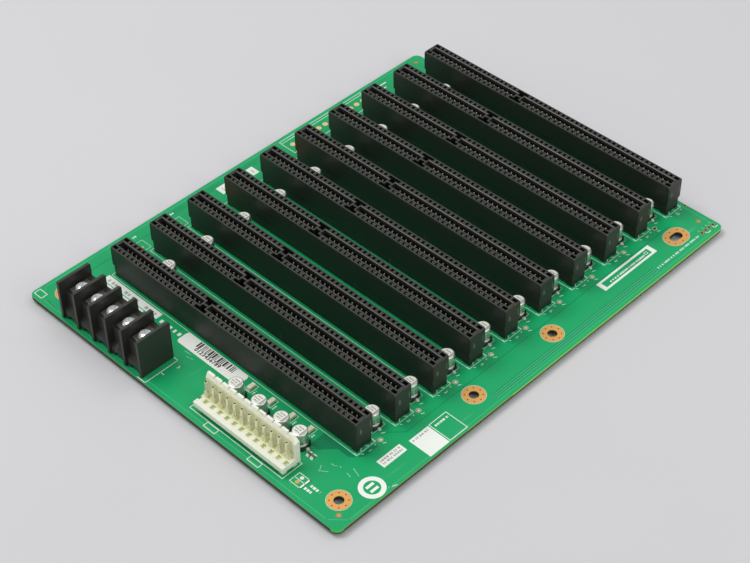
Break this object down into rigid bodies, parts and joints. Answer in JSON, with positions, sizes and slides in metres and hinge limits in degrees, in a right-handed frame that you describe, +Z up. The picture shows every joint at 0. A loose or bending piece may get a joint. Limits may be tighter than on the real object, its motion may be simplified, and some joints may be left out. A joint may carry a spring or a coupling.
{
  "type": "passive bus backplane board",
  "caption": "Passive bus backplane: a green circuit board with parallel two-section card-edge slots, capacitors beside them, a barrier terminal block and a pin header for power.",
  "frame": {"origin": "bottom centre of the bounding box, on the plane of the tail ends under the board", "axes": "+X along the card slots, +Y from the power inputs at the front edge to the last slot, +Z up out of the component side"},
  "size_m": [0.1762, 0.2256, 0.0219],
  "materials": {
    "solder_mask": "green solder mask over glass-epoxy laminate, satin",
    "slot_plastic": "moulded charcoal plastic, matt",
    "contact_gold": "gold-plated spring contacts",
    "tinned_metal": "tin plate, dull",
    "can_aluminium": "drawn aluminium can, satin",
    "base_plastic": "moulded black plastic",
    "chip_ceramic": "ceramic chip body",
    "header_ivory": "natural nylon",
    "block_plastic": "moulded black plastic, satin",
    "terminal_nickel": "nickel-plated steel",
    "label_paper": "white paper label"
  },
  "bodies": {
    "root": {"board": "solder_mask", "slot_01_housing": "slot_plastic", "slot_01_contacts": "contact_gold", "slot_02_housing": "slot_plastic", "slot_02_contacts": "contact_gold", "slot_03_housing": "slot_plastic", "slot_03_contacts": "contact_gold", "slot_04_housing": "slot_plastic", "slot_04_contacts": "contact_gold", "slot_05_housing": "slot_plastic", "slot_05_contacts": "contact_gold", "slot_06_housing": "slot_plastic", "slot_06_contacts": "contact_gold", "slot_07_housing": "slot_plastic", "slot_07_contacts": "contact_gold", "slot_08_housing": "slot_plastic", "slot_08_contacts": "contact_gold", "slot_09_housing": "slot_plastic", "slot_09_contacts": "contact_gold", "slot_10_housing": "slot_plastic", "slot_10_contacts": "contact_gold", "slot_corner_tails": "tinned_metal", "capacitor_cans": "can_aluminium", "capacitor_bases": "base_plastic", "chip_capacitors": "chip_ceramic", "chip_resistors": "base_plastic", "power_header_body": "header_ivory", "power_header_pins": "tinned_metal", "terminal_block_body": "block_plastic", "terminal_plates": "terminal_nickel", "terminal_screws": "terminal_nickel", "paper_label": "label_paper"}
  },
  "joints": []
}
